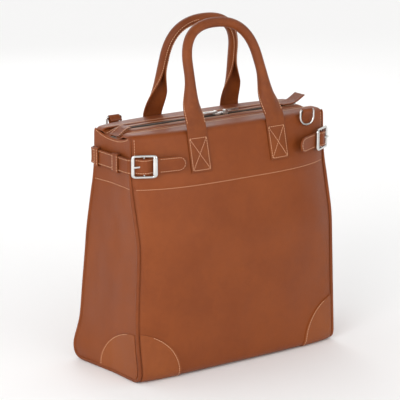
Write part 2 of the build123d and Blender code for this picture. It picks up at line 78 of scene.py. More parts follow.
def rounded_path(points, rounds, straight_steps, arc_steps):
    """Points along a line whose inner corners are rounded, evenly shared between its parts."""
    points = [np.array(p, float) for p in points]
    path = [points[0]]
    for i, radius in enumerate(rounds):
        before, corner, after = points[i], points[i + 1], points[i + 2]
        run_in = (corner - before) / np.linalg.norm(corner - before)
        run_out = (after - corner) / np.linalg.norm(after - corner)
        half_turn = math.acos(max(-1.0, min(1.0, float(run_in @ run_out)))) / 2
        reach = radius * math.tan(half_turn)
        start, end = corner - run_in * reach, corner + run_out * reach
        last = path[-1]
        for k in range(1, straight_steps[i] + 1):
            path.append(last + (start - last) * k / straight_steps[i])
        for k in range(1, arc_steps[i] + 1):
            share = k / arc_steps[i]
            near = start + (corner - start) * share
            far = corner + (end - corner) * share
            path.append(near + (far - near) * share)
    last = path[-1]
    for k in range(1, straight_steps[-1] + 1):
        path.append(last + (points[-1] - last) * k / straight_steps[-1])
    return np.array(path)


def run_lengths(points):
    """Distance along a line at each of its points."""
    steps = np.linalg.norm(np.diff(points, axis=0), axis=1)
    return np.concatenate([[0], np.cumsum(steps)])


def side_path(fullness):
    """Depth and height down one side of the case, from the zip to the base seam."""
    corners = [(d + fullness * s, h) for (d, h), s in zip(END_CORNERS, MIDDLE_SWELL)]
    points = [(TOP_EDGE, HEIGHT)] + corners + [(BASE_SEAM, 0.0)]
    return rounded_path(points, CORNER_ROUNDS, (6, 18, 16, 60, 4), (10, 12, 12, 12))


END_PATH, MIDDLE_PATH = side_path(0.0), side_path(1.0)
PATH_LAST = len(END_PATH) - 1


def fullness(x):
    """How much of the middle's swell the case has at this place along its width."""
    return max(0.0, 1.0 - (abs(x) / PANEL_END) ** SWELL_POWER)


def path_at(x):
    """Side path at this place along the width."""
    return END_PATH + (MIDDLE_PATH - END_PATH) * fullness(x)


def slump(x, z, side):
    """Small sags and puckers of the hide, outwards from the even shape."""
    soft = noise.noise(Vector((x / 95.0, z / 80.0, 3.0 * side))) * 2.4
    soft += noise.noise(Vector((x / 33.0, z / 42.0, 7.0 * side))) * 0.5
    calm = min(1.0, max(0.0, z / 60.0)) * min(1.0, max(0.0, (392.0 - z) / 40.0))
    calm *= min(1.0, (PANEL_END + 4.0 - abs(x)) / 30.0)
    sewn = -0.9 * math.exp(-(((z - STITCH_HEIGHT) / 3.6) ** 2))
    pulled = -2.0 * math.exp(-max(0.0, PANEL_END - abs(x)) / 2.2)
    return soft * calm + sewn + pulled


def wall(x, t, side, lift=0.0):
    """Point on the panel: t runs from 0 at the zip to 1 at the base seam."""
    place = min(max(t, 0.0), 1.0) * PATH_LAST
    low = min(int(place), PATH_LAST - 1)
    share = place - low
    full = fullness(x)
    near = END_PATH[low] + (MIDDLE_PATH[low] - END_PATH[low]) * full
    far = END_PATH[low + 1] + (MIDDLE_PATH[low + 1] - END_PATH[low + 1]) * full
    depth, height = near + (far - near) * share
    along = (far - near) / (np.linalg.norm(far - near) + 1e-9)
    out = np.array([-along[1], along[0]])
    swell_step = (fullness(x + 1) - fullness(x - 1)) / 2 * (MIDDLE_PATH[low] - END_PATH[low])
    lean = float(swell_step @ out)
    normal = np.array([-lean, side * out[0], out[1]])
    normal /= np.linalg.norm(normal)
    return np.array([x, side * depth, height]) + normal * (lift + slump(x, height, side)), normal


def t_at(x, z):
    """Where on the side path the panel has this height."""
    heights = path_at(x)[:, 1][6:]
    return (6 + float(np.interp(-z, -heights, np.arange(len(heights))))) / PATH_LAST


def on_wall(x, z, side, lift=0.0):
    """Point and normal on the panel at this place and height."""
    return wall(x, t_at(x, z), side, lift)


print("depth of the middle at the stitch line", round(abs(on_wall(0, STITCH_HEIGHT, -1)[0][1]), 1), "mm")

# %% [markdown]
# Every soft piece starts as a flat grid that is laid over a shape by a small function of two
# shares, across and along. Thickness comes after, from a Solidify modifier, and a narrow bevel
# rounds the cut edges, because leather never shows a knife-sharp edge. The modifiers are applied
# so that the mesh is final before it is bound to a body.

# %% Helpers that make meshes


def settle_low(co):
    """The left end of the case has settled outwards near the floor, most at its back corner."""
    if co.x < 0 and co.z < 260:
        low = 1 - min(1.0, max(0.0, (co.z - 70.0) / 170.0))
        low = low * low * (3 - 2 * low)
        end = min(1.0, max(0.0, (-co.x - 60.0) / 130.0)) ** 1.5
        corner = min(1.0, max(0.0, (co.y + 10.0) / 90.0)) * math.exp(-(((co.z - 26.0) / 34.0) ** 2))
        co.x -= end * (9.0 * low + 13.0 * corner)
        front = min(1.0, max(0.0, (-co.y - 30.0) / 55.0)) * math.exp(-(((co.z - 22.0) / 30.0) ** 2))
        co.y -= 4.5 * end * front


def put_in_scene(name, bm):
    """New object from a bmesh drawn in millimetres."""
    for vert in bm.verts:
        settle_low(vert.co)
    bmesh.ops.scale(bm, vec=(MM, MM, MM), verts=bm.verts)
    mesh = bpy.data.meshes.new(name)
    bm.to_mesh(mesh)
    bm.free()
    obj = bpy.data.objects.new(name, mesh)
    bpy.context.scene.collection.objects.link(obj)
    return obj


def laid_grid(across, along, place, out=None, wrap=False):
    """Grid of faces laid by place(u, v); out is the way that its faces look."""
    bm = bmesh.new()
    bmesh.ops.create_grid(bm, x_segments=across, y_segments=along, size=1.0)
    uv = bm.loops.layers.uv.new("cut")
    shares = {v.index: ((v.co.x + 1) / 2, (v.co.y + 1) / 2) for v in bm.verts}
    for face in bm.faces:
        for loop in face.loops:
            loop[uv].uv = shares[loop.vert.index]
    for v in bm.verts:
        v.co = Vector([float(c) for c in place(*shares[v.index])])
    if wrap:
        bmesh.ops.remove_doubles(bm, verts=bm.verts, dist=0.001)
    bm.normal_update()
    if out is None:
        bmesh.ops.recalc_face_normals(bm, faces=bm.faces)
    else:
        total = sum((f.normal * f.calc_area() for f in bm.faces), Vector())
        if total.dot(Vector(out)) < 0:
            bmesh.ops.reverse_faces(bm, faces=bm.faces)
    return bm


def settle(obj):
    """Apply every modifier, so that the mesh is the final one."""
    graph = bpy.context.evaluated_depsgraph_get()
    mesh = bpy.data.meshes.new_from_object(obj.evaluated_get(graph))
    obj.modifiers.clear()
    obj.data = mesh
    for polygon in mesh.polygons:
        polygon.use_smooth = True
    return obj


def hide_piece(name, bm, thickness, material, offset=-1.0, edge=0.45):
    """Sheet of leather with its thickness, rounded edges and finish."""
    obj = put_in_scene(name, bm)
    if thickness:
        wall_maker = obj.modifiers.new("thickness", "SOLIDIFY")
        wall_maker.thickness = thickness * MM
        wall_maker.offset = offset
        wall_maker.use_even_offset = True
    if edge:
        rounding = obj.modifiers.new("edges", "BEVEL")
        rounding.width = edge * MM
        rounding.segments = 2
        rounding.limit_method = "ANGLE"
        rounding.angle_limit = math.radians(50)
    settle(obj)
    obj.data.materials.clear()
    obj.data.materials.append(material)
    return obj


def dress(obj, body, slot_name, *nodes):
    """Bind a piece to its body, and let it stand for its nodes; slot_name is not used."""
    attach(obj, body)
    if nodes:
        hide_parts(*nodes)
    return obj


# %% [markdown]
# The hide is smooth full-grain leather with a soft wax finish. Its colour drifts slowly over the
# skin, small pores darken it, and fine creases catch the light. These effects are used by the
# case leather, the trim and the handles, so they are one node group with its own values in each.

# %% Node helpers and the grain group


def add_node(tree, kind, settings=None, **inputs):
    """Node with its settings and its input values or links."""
    node = tree.nodes.new(kind)
    for key, value in (settings or {}).items():
        setattr(node, key, value)
    for key, value in inputs.items():
        socket = node.inputs[int(key[1:]) if key[0] == "i" and key[1:].isdigit() else key.replace("_", " ")]
        if isinstance(value, bpy.types.NodeSocket):
            tree.links.new(value, socket)
        else:
            socket.default_value = value
    return node


def ramp(tree, source, low, high, low_value=0.0, high_value=1.0):
    """Share of the way from low to high, as a value."""
    return add_node(
        tree, "ShaderNodeMapRange", {"interpolation_type": "SMOOTHSTEP"}, i0=source, i1=low,
        i2=high, i3=low_value, i4=high_value,
    ).outputs[0]


def mix_colours(tree, share, first, second, blend="MIX"):
    """Mixed colour of two colours."""
    return add_node(
        tree, "ShaderNodeMix", {"data_type": "RGBA", "blend_type": blend}, i0=share, i6=first, i7=second
    ).outputs[2]


def relief(tree, shader, height, strength, distance):
    """Bump of this height on a finish."""
    bump = add_node(tree, "ShaderNodeBump", None, Strength=strength, Distance=distance, Height=height)
    tree.links.new(bump.outputs[0], shader.inputs["Normal"])


def set_values(shader, **values):
    """Plain values of a finish."""
    for key, value in values.items():
        shader.inputs[key.replace("_", " ")].default_value = value


def empty_group(name, size_name, outputs):
    """Node group with a vector and a size going in; returns its tree, both inputs and its exit."""
    tree = bpy.data.node_groups.new(name, "ShaderNodeTree")
    face = tree.interface
    face.new_socket("Vector", in_out="INPUT", socket_type="NodeSocketVector")
    face.new_socket(size_name, in_out="INPUT", socket_type="NodeSocketFloat").default_value = 1.0
    for output in outputs:
        face.new_socket(output, in_out="OUTPUT", socket_type="NodeSocketFloat")
    enter, leave = tree.nodes.new("NodeGroupInput"), tree.nodes.new("NodeGroupOutput")
    return tree, enter.outputs[0], enter.outputs[1], leave


def grain_group():
    """Drift of colour, pores, fine creases and height of a smooth hide."""
    outputs = ("Drift", "Pores", "Creases", "Height")
    tree, vector, size, leave = empty_group("hide_grain", "Grain Size", outputs)
    scaled = add_node(tree, "ShaderNodeVectorMath", {"operation": "SCALE"}, i0=vector, i3=size).outputs[0]
    drift = add_node(
        tree, "ShaderNodeTexNoise", None, Vector=scaled, Scale=11.0, Detail=4.0, Roughness=0.55
    ).outputs[0]
    streak = add_node(
        tree, "ShaderNodeTexNoise", None, Vector=scaled, Scale=60.0, Detail=3.0, Distortion=1.2
    ).outputs[0]
    cells = add_node(
        tree, "ShaderNodeTexVoronoi", {"feature": "DISTANCE_TO_EDGE"}, Vector=scaled, Scale=620.0,
        Randomness=1.0,
    ).outputs[0]
    pores = add_node(
        tree, "ShaderNodeTexVoronoi", {"feature": "F1"}, Vector=scaled, Scale=980.0
    ).outputs[0]
    wrinkle = add_node(
        tree, "ShaderNodeTexNoise", None, Vector=scaled, Scale=230.0, Detail=5.0, Roughness=0.6,
        Distortion=0.8,
    ).outputs[0]
    both = add_node(tree, "ShaderNodeMath", {"operation": "MULTIPLY_ADD"}, i0=streak, i1=0.35, i2=drift)
    tree.links.new(ramp(tree, both.outputs[0], 0.45, 0.95), leave.inputs["Drift"])
    tree.links.new(ramp(tree, pores, 0.05, 0.3, 1.0, 0.0), leave.inputs["Pores"])
    tree.links.new(ramp(tree, cells, 0.0, 0.12, 1.0, 0.0), leave.inputs["Creases"])
    plateau = ramp(tree, cells, 0.0, 0.16)
    height = add_node(
        tree, "ShaderNodeMath", {"operation": "MULTIPLY_ADD"}, i0=wrinkle, i1=1.6, i2=plateau
    ).outputs[0]
    tree.links.new(height, leave.inputs["Height"])
    return tree


GRAIN = grain_group()
print("grain group has", len(GRAIN.nodes), "nodes")

# %% [markdown]
# Each leather is the same group with other colours and another strength. Roughness changes with
# the drift, so the wax looks rubbed in some places, and creases are a little darker.

# %% Leather materials


def new_material(name):
    """Material with its tree, Principled node and object coordinates."""
    material = bpy.data.materials.new(name)
    material.use_nodes = True
    tree = material.node_tree
    shader = tree.nodes["Principled BSDF"]
    coords = tree.nodes.new("ShaderNodeTexCoord").outputs["Object"]
    return material, tree, shader, coords


def leather(name, light, mid, dark, grain=1.0, bump=0.25, rough=(0.4, 0.5), coat=0.04):
    """Smooth waxed leather in three related tones."""
    material, tree, shader, coords = new_material(name)
    hide = add_node(tree, "ShaderNodeGroup", {"node_tree": GRAIN}, Vector=coords, Grain_Size=grain)
    tone = mix_colours(tree, hide.outputs["Drift"], (*dark, 1), (*light, 1))
    tone = mix_colours(tree, 0.35, tone, (*mid, 1))
    pores = ramp(tree, hide.outputs["Pores"], 0.0, 1.0, 0.0, 0.35)
    tone = mix_colours(tree, pores, tone, (*dark, 1))
    creases = ramp(tree, hide.outputs["Creases"], 0.0, 1.0, 0.0, 0.22)
    tone = mix_colours(tree, creases, tone, (*[c * 0.6 for c in dark], 1))
    tree.links.new(tone, shader.inputs["Base Color"])
    tree.links.new(ramp(tree, hide.outputs["Drift"], 0.0, 1.0, *rough), shader.inputs["Roughness"])
    set_values(
        shader, Specular_IOR_Level=0.2, Coat_Weight=coat, Coat_Roughness=0.32, Sheen_Weight=0.015,
        Sheen_Roughness=0.45, Sheen_Tint=(0.95, 0.78, 0.85, 1),
    )
    relief(tree, shader, hide.outputs["Height"], bump, 0.0006)
    return material


CASE_LEATHER = leather(
    "case leather", (0.252, 0.06, 0.011), (0.222, 0.05, 0.0085), (0.19, 0.041, 0.0068)
)
TRIM_LEATHER = leather(
    "trim leather", (0.262, 0.064, 0.0125), (0.215, 0.049, 0.009), (0.16, 0.034, 0.006), 1.25, 0.3
)
HANDLE_LEATHER = leather(
    "handle leather", (0.262, 0.066, 0.013), (0.212, 0.05, 0.0095), (0.145, 0.031, 0.006), 1.4, 0.3
)
PATCH_LEATHER = leather(
    "patch leather", (0.31, 0.084, 0.019), (0.268, 0.068, 0.0145), (0.22, 0.052, 0.011), 1.1, 0.4
)
FLESH_SIDE = leather(
    "inner leather", (0.36, 0.2, 0.09), (0.27, 0.13, 0.055), (0.16, 0.07, 0.03), 1.8, 0.5, (0.7, 0.85), 0.0
)

print("five leathers share the grain group")

# %% [markdown]
# The thread is thick waxed polyester in a light peach. Twisted strands show as a fine slanted
# ripple. Plated metal carries fine marks from handling, and every cloth shows its two yarns.
# Several finishes use each of these two effects, so each effect is one node group.

# %% Thread, metal, tape and cloth


def weave_group():
    """Two crossed yarns and their fuzz, shared by every cloth."""
    tree, vector, size, leave = empty_group("plain_weave", "Yarns", ("Crossed", "Fuzz"))
    waves = [
        add_node(
            tree, "ShaderNodeTexWave", {"wave_type": "BANDS", "bands_direction": direction},
            Vector=vector, Scale=size, Distortion=0.3,
        ).outputs["Fac"]
        for direction in ("X", "Y")
    ]
    crossed = add_node(tree, "ShaderNodeMath", {"operation": "MULTIPLY"}, i0=waves[0], i1=waves[1])
    fuzz = add_node(tree, "ShaderNodeTexNoise", None, Vector=vector, Scale=700.0)
    tree.links.new(crossed.outputs[0], leave.inputs["Crossed"])
    tree.links.new(fuzz.outputs[0], leave.inputs["Fuzz"])
    return tree


def marks_group():
    """Fine handling marks and a slow cloud of dullness, shared by every metal."""
    tree, vector, size, leave = empty_group("handling_marks", "Mark Size", ("Marks", "Cloud"))
    marks = add_node(
        tree, "ShaderNodeTexNoise", None, Vector=vector, Scale=size, Detail=6.0, Distortion=2.5
    )
    cloud = add_node(tree, "ShaderNodeTexNoise", None, Vector=vector, Scale=55.0, Detail=3.0)
    tree.links.new(marks.outputs[0], leave.inputs["Marks"])
    tree.links.new(cloud.outputs[0], leave.inputs["Cloud"])
    return tree


WEAVE, MARKS = weave_group(), marks_group()
print("weave and handling marks are node groups too")


def thread():
    """Waxed twisted thread."""
    material, tree, shader, coords = new_material("thread")
    twist = add_node(
        tree, "ShaderNodeTexWave", {"wave_type": "BANDS", "bands_direction": "DIAGONAL"},
        Vector=coords, Scale=900.0, Distortion=0.6,
    ).outputs["Fac"]
    tone = mix_colours(tree, twist, (0.62, 0.33, 0.18, 1), (0.85, 0.52, 0.32, 1))
    tree.links.new(tone, shader.inputs["Base Color"])
    set_values(shader, Roughness=0.55)
    relief(tree, shader, twist, 0.4, 0.0002)
    return material


def metal(name, tone, rough):
    """Polished plate with fine handling marks."""
    material, tree, shader, coords = new_material(name)
    wear = add_node(tree, "ShaderNodeGroup", {"node_tree": MARKS}, Vector=coords, Mark_Size=420.0)
    marks, cloud = wear.outputs["Marks"], wear.outputs["Cloud"]
    dulled = [c * 0.82 for c in tone]
    colour = mix_colours(tree, ramp(tree, cloud, 0.4, 0.75), (*tone, 1), (*dulled, 1))
    tree.links.new(colour, shader.inputs["Base Color"])
    tree.links.new(ramp(tree, marks, 0.35, 0.8, rough, rough + 0.16), shader.inputs["Roughness"])
    set_values(shader, Metallic=1.0)
    relief(tree, shader, marks, 0.05, 0.0002)
    return material


def woven(name, first, second, size, rough=0.8):
    """Plain weave of two yarns."""
    material, tree, shader, coords = new_material(name)
    cloth = add_node(tree, "ShaderNodeGroup", {"node_tree": WEAVE}, Vector=coords, Yarns=size)
    crossed = cloth.outputs["Crossed"]
    tree.links.new(
        mix_colours(tree, crossed, (*first, 1), (*second, 1)), shader.inputs["Base Color"]
    )
    rubbed = ramp(tree, cloth.outputs["Fuzz"], 0.3, 0.7, rough - 0.1, rough + 0.1)
    tree.links.new(rubbed, shader.inputs["Roughness"])
    set_values(shader, Sheen_Weight=0.3)
    relief(tree, shader, crossed, 0.6, 0.0004)
    return material


THREAD = thread()
NICKEL = metal("polished nickel", (0.66, 0.65, 0.63), 0.12)
ZIP_METAL = metal("zip nickel", (0.72, 0.71, 0.69), 0.24)
TAPE = woven("zip tape", (0.1, 0.05, 0.022), (0.2, 0.105, 0.045), 900.0)
COIL = woven("zip coil", (0.05, 0.028, 0.016), (0.1, 0.055, 0.03), 500.0, 0.5)
LINING = woven("lining twill", (0.1, 0.065, 0.04), (0.19, 0.13, 0.085), 600.0)
BOARD = woven("fibre board", (0.035, 0.03, 0.027), (0.06, 0.052, 0.045), 300.0)
ROPE = woven("rope core", (0.42, 0.33, 0.22), (0.62, 0.52, 0.38), 250.0)

# %% [markdown]
# Front and back panels: each is one hide from the folded edge by the zip, over the shoulder,
# down the face and round under the base. Above the cinch straps the side seam has no piping, so
# there the panel reaches out to meet the gusset. A laid grid gives one continuous skin.

# %% Front and back panels


def ease(value, low, high):
    """Smooth step from 0 at low to 1 at high."""
    share = min(1.0, max(0.0, (value - low) / (high - low)))
    return share * share * (3 - 2 * share)


def corner_reach(z):
    """How far the plain seam above the strap closes over the corner."""
    return ease(z, 352.0, 362.0)


def panel_place(side):
    def place(u, v):
        across = (2 * u - 1)
        centre, _ = wall(0.0, v, side)
        reach = PANEL_END + 2.0 + corner_reach(centre[2])
        x = across * reach
        point, normal = wall(x, v, side)
        beyond = max(0.0, abs(x) - PANEL_END)
        return point - normal * beyond * 0.7
    return place


for side, side_name in SIDES:
    bm = laid_grid(150, 140, panel_place(side), out=(0, side, 0))
    obj = hide_piece(f"{side_name}_hide", bm, LEATHER, CASE_LEATHER)
    dress(obj, "case", "case_leather", f"{side_name}_panel")
    print(obj.name, len(obj.data.polygons), "faces")

# %% [markdown]
# The gussets close the two ends of the case and let it open wide. Each is a flat piece whose
# top edge sags, and its upper half falls inwards a little, as a soft leather end does when the
# bag stands empty. The base is one plain strip between the two base seams.

# %% Gussets and base


def end_depth(z):
    """Half depth of the end outline at this height, out to the leather's face."""
    heights, depths = END_PATH[10:-4, 1], END_PATH[10:-4, 0]
    return float(np.interp(-z, -heights, depths))


def gusset_top(y):
    return 388.0 + 9.0 * (abs(y) / 50.0) ** 2.2


def gusset_point(y, z, end, lift=0.0):
    """Point on the outer face of a gusset; end is -1 on the left and 1 on the right."""
    across = min(1.0, abs(y) / max(1.0, end_depth(z) - 4.0))
    hollow = 4.5 * (1 - across**2) * ease(z, 60.0, 330.0)
    soft = noise.noise(Vector((y / 38.0, z / 60.0, 11.0 * end))) * 1.6 * (1 - across**4)
    sewn = 0.8 * math.exp(-(((z - STITCH_HEIGHT) / 3.6) ** 2))
    folded = 3.4 * ease(z, 352.0, 366.0) * across**4
    return np.array([end * (197.4 - hollow + soft - sewn - folded * 0.4 + lift), y, z])


def gusset_place(end):
    def place(u, v):
        y, z = 0.0, 390.0
        for _ in range(6):
            z = gusset_top(y) + (5.0 - gusset_top(y)) * v
            y = (2 * u - 1) * (end_depth(z) - 4.4 + 3.4 * corner_reach(z))
        return gusset_point(y, z, end)
    return place


for end, end_name in ENDS:
    bm = laid_grid(46, 110, gusset_place(end), out=(end, 0, 0))
    dress(hide_piece(f"{end_name}_end", bm, 2.4, CASE_LEATHER), "case", "case_leather", f"{end_name}_gusset")

bm = laid_grid(60, 24, lambda u, v: ((2 * u - 1) * PANEL_END, (2 * v - 1) * BASE_SEAM, 0.2), out=(0, 0, -1))
dress(hide_piece("base_hide", bm, LEATHER, CASE_LEATHER), "case", "case_leather", "base_panel")
print("two gussets and the base strip; top edge sags to", gusset_top(0.0), "mm")

# %% [markdown]
# The piping is a cord wrapped in a narrow strip of leather and caught in the seam. It starts
# under the cinch strap, follows the gusset down and round the base, and ends under the strap on
# the other side. Cords and straps are swept by one helper that carries a cross section along.

# %% Piping


def path_frames(points, steps):
    """Even points along a line, with the direction at each."""
    points = np.array(points, float)
    lengths = run_lengths(points)
    places = np.linspace(0, lengths[-1], steps + 1)
    even = np.stack([np.interp(places, lengths, points[:, k]) for k in range(3)], axis=1)
    runs = np.gradient(even, axis=0)
    runs /= np.linalg.norm(runs, axis=1)[:, None]
    return even, runs, float(lengths[-1])


def cord_place(points, radius, steps, up):
    even, runs, _ = path_frames(points, steps)

    def place(u, v):
        i = min(steps, int(round(v * steps)))
        across = np.cross(runs[i], up)
        across /= np.linalg.norm(across)
        rise = np.cross(across, runs[i])
        turn = 2 * math.pi * u
        pinch = 0.35 + 0.65 * min(1.0, 14 * v, 14 * (1 - v)) if radius > 2 else 1.0
        return even[i] + (across * math.cos(turn) + rise * math.sin(turn)) * radius * pinch
    return place


def end_ring(inset, low_from):
    """Line round one end outline at this inset, from the front strap to the back strap."""
    side = [(d, h) for d, h in END_PATH if h < low_from]
    inner = []
    for i, (d, h) in enumerate(side):
        before, after = side[max(0, i - 1)], side[min(len(side) - 1, i + 1)]
        run = np.array(after) - np.array(before)
        run = run / np.linalg.norm(run)
        inner.append((d + run[1] * inset, h - run[0] * inset))
    return [(-d, h) for d, h in inner] + [(d, h) for d, h in reversed(inner)]


for end, end_name in ENDS:
    ring = [(end * PIPING_X, y, z) for y, z in end_ring(3.0, 356.0)]
    bm = laid_grid(12, 260, cord_place(ring, 3.3, 260, (1.0, 0.0, 0.0)), wrap=True)
    piping = hide_piece(f"{end_name}_piping_cord", bm, 0.0, TRIM_LEATHER, edge=0)
    dress(piping, "case", "case_leather", f"{end_name}_piping")
    print(piping.name, len(ring), "points round the end")

# %% [markdown]
# Corner patches guard the four bottom corners, one on the panel and one on the gusset at each.
# Each has a curved inner edge. They are laid on the skin a leather thickness higher. At the back
# of each end the patch lies inside, behind the gusset, so no edge of it is seen.

# %% Corner patches


def t_from_base(x, run):
    """Place on the side path at this distance up from the base seam."""
    path = path_at(x)[::-1]
    lengths = run_lengths(path)
    return 1.0 - float(np.interp(run, lengths, np.arange(len(path)))) / PATH_LAST


def patch_edge(run):
    """Width of the panel patch at this distance up from the base seam."""
    return 66.0 if run < 30.0 else 66.0 * math.sqrt(max(0.0, 1 - ((run - 30.0) / 72.0) ** 2.3))


def panel_patch_place(end, side):
    def place(u, v):
        run = 102.0 * math.sin(v * math.pi / 2)
        x = end * (PANEL_END - 0.6 - patch_edge(run) * u)
        return wall(x, t_from_base(x, run), side, 1.35)[0]
    return place


def gusset_patch_span(z, side=-1):
    """Outer and inner depth of an end patch; the front one reaches past the middle."""
    outer = end_depth(z) - 7.0
    width = 108.0 if side < 0 else 84.0
    inner = 88.0 - width * math.sqrt(max(0.0, 1 - (z / 80.0) ** 2.3))
    return outer, min(outer, inner)


def gusset_patch_place(end, side):
    def place(u, v):
        z = 6.0 + 73.0 * math.sin(v * math.pi / 2)
        outer, inner = gusset_patch_span(z, side)
        inside = 1.35 if side < 0 else -2.6
        return gusset_point(side * (outer + (inner - outer) * u), z, end, inside)
    return place


for end, end_name in ENDS:
    for side, side_name in SIDES:
        bm = laid_grid(22, 34, panel_patch_place(end, side), out=(0, side, 0))
        patch = hide_piece(f"{end_name}_{side_name}_corner", bm, 1.3, PATCH_LEATHER, edge=0.5)
        dress(patch, "case", "case_leather", f"{end_name}_{side_name}_panel_patch")
        bm = laid_grid(22, 30, gusset_patch_place(end, side), out=(end, 0, 0))
        patch = hide_piece(f"{end_name}_{side_name}_end_corner", bm, 1.3, PATCH_LEATHER, edge=0.5)
        dress(patch, "case", "case_leather", f"{end_name}_{side_name}_gusset_patch")

print("eight corner patches")

# %% [markdown]
# Straps are ribbons: a line seen from above or from the side, widened and slightly domed. The
# cinch strap runs from the back panel round the end, through its keeper and over the buckle's
# bar. Its free tip lifts in use, but the ribbon is one piece with the tip, bound to no body, and
# only the stitches of the tip are bound to the tip.

# %% Cinch straps


def ribbon(
    points, steps, widen, across, width, dome=0.0, out=None, round_end=False, name="", wall=2.4
):
    """Strap along a line; across is the direction of its width."""
    even, runs, length = path_frames(points, steps)
    across = np.array(across, float)

    def place(u, v):
        i = min(steps, int(round(v * steps)))
        face = np.cross(across, runs[i]) * widen
        half = width / 2
        past = v * length - (length - half)
        if round_end and past > 0:
            half = math.sqrt(max(0.0, half**2 - past**2))
        share = 2 * u - 1
        return even[i] + across * share * half + face * dome * (1 - abs(share) ** 4)
    bm = laid_grid(8, steps, place, out=out, wrap=round_end)
    return hide_piece(name, bm, wall, TRIM_LEATHER, offset=0.0, edge=0.6)


TURN = math.radians(28.0)
BUCKLE = np.array([-180.331, -68.5626])


def in_buckle(along, depth, turn=TURN, start=BUCKLE):
    """Point beside the left buckle: along the strap, and inwards from the frame's middle."""
    x = start[0] + along * math.cos(turn) + depth * math.sin(turn)
    y = start[1] - along * math.sin(turn) + depth * math.cos(turn)
    return (x, y, STRAP_HEIGHT)


def strap_line(lay):
    """Middle line of the left strap and its tip, seen from above."""
    tip_turn = math.radians(28.0 - lay)
    pivot = np.array(in_buckle(22.0, 3.3)[:2])
    bends = [
        (-168.19, 71.28), (-200.7, 53.99), (-200.7, -53.99), in_buckle(-13, 3.3)[:2],
        in_buckle(-3.96, -2.96)[:2], in_buckle(3.96, -2.96)[:2], in_buckle(13, 3.3)[:2],
        tuple(pivot), in_buckle(50.0, 0.0, tip_turn, pivot)[:2],
    ]
    rounds, arcs = (5, 5, 4, 3, 3, 4, 6), (6, 6, 4, 4, 4, 4, 4)
    flat = rounded_path(bends, rounds, (6, 20, 5, 2, 2, 2, 2, 12), arcs)
    return [(x, y, STRAP_HEIGHT) for x, y in flat]


STRAP_LINES = {-1: strap_line(17.0), 1: [(-x, y, z) for x, y, z in strap_line(3.0)]}
CHAPE_BENDS = [
    (17.5, 5.7), (11, 5.6), (2.0, 3.7), (-1.6, 3.0), (-2.3, 1.6), (-1.2, -0.4), (1.4, -0.3),
]
for end, end_name in ENDS:
    strap = ribbon(
        STRAP_LINES[end], 150, -end, (0, 0, 1), STRAP_WIDTH, 0.5, out=(end, 0, 0), round_end=True,
        name=f"{end_name}_cinch_strap",
    )
    pivot_low, pivot_high = np.array(in_buckle(16.0, 3.3)), np.array(in_buckle(27.0, 3.3))
    for point in (pivot_low, pivot_high):
        point[0] *= -end
    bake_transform(strap)
    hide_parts(f"{end_name}_strap", f"{end_name}_strap_tip")
    chape_line = [(-end * x, y, z) for x, y, z in (in_buckle(*spot) for spot in CHAPE_BENDS)]
    chape = ribbon(chape_line, 20, -end, (0, 0, 1), 22.0, name=f"{end_name}_buckle_fold", wall=1.2)
    dress(chape, "case", "trim_leather", f"{end_name}_buckle_chape")
    for y_place, loop_width, node in ((-19.0, 16.0, "keeper"), (36.0, 11.0, "rear_loop")):
        box = [(197.2, 366.6), (203.4, 366.6), (203.4, 337.4), (197.2, 337.4)]
        flat = rounded_path(box, (1.6, 1.6), (4, 14, 4), (4, 4))
        loop_line = [(end * x, y_place, z) for x, z in flat]
        loop = ribbon(
            loop_line, 44, -end, (0, 1, 0), loop_width, 0.3, name=f"{end_name}_{node}_band", wall=1.7
        )
        dress(loop, "case", "trim_leather", f"{end_name}_{node}")
print("cinch straps, folds, keepers and loops on both ends; strap line", len(STRAP_LINES[-1]), "points")

# %% [markdown]
# Each handle is one long strip of leather. Its two ends lie flat on the panel and are sewn there.
# On the way up its edges roll towards the inside until they meet round a rope core, and over
# the arch it is a full tube. A cross section that is an arc of growing angle makes all of it.

# %% Handles


def handle_line(lean_side):
    """Middle line of a handle in its own plane, as (x, rise) pairs."""
    flat = rounded_path(
        [(-79.0, 6.0), (-64.0, 171.5), (64.0, 171.5), (79.0, 6.0)], (68.0, 68.0), (24, 4, 24), (26, 26)
    )
    even, runs, _ = path_frames([(x + lean_side * r / 172.0, r, 0.0) for x, r in flat], 150)
    return even, runs


def roll_at(rise):
    """Angle, strip width and outward reach of the cross section at this rise."""
    share = ease(rise, -6.0, 96.0)
    angle = 0.25 + (2 * math.pi * 0.985 - 0.25) * share**1.25
    width = 37.0 + (2 * math.pi * 8.2 * 0.985 - 37.0) * share
    return angle, width, 1.6 + 6.6 * share


LEAN = math.radians(17.0)
TAB_HEIGHTS = np.linspace(333.0, 388.0, 15)


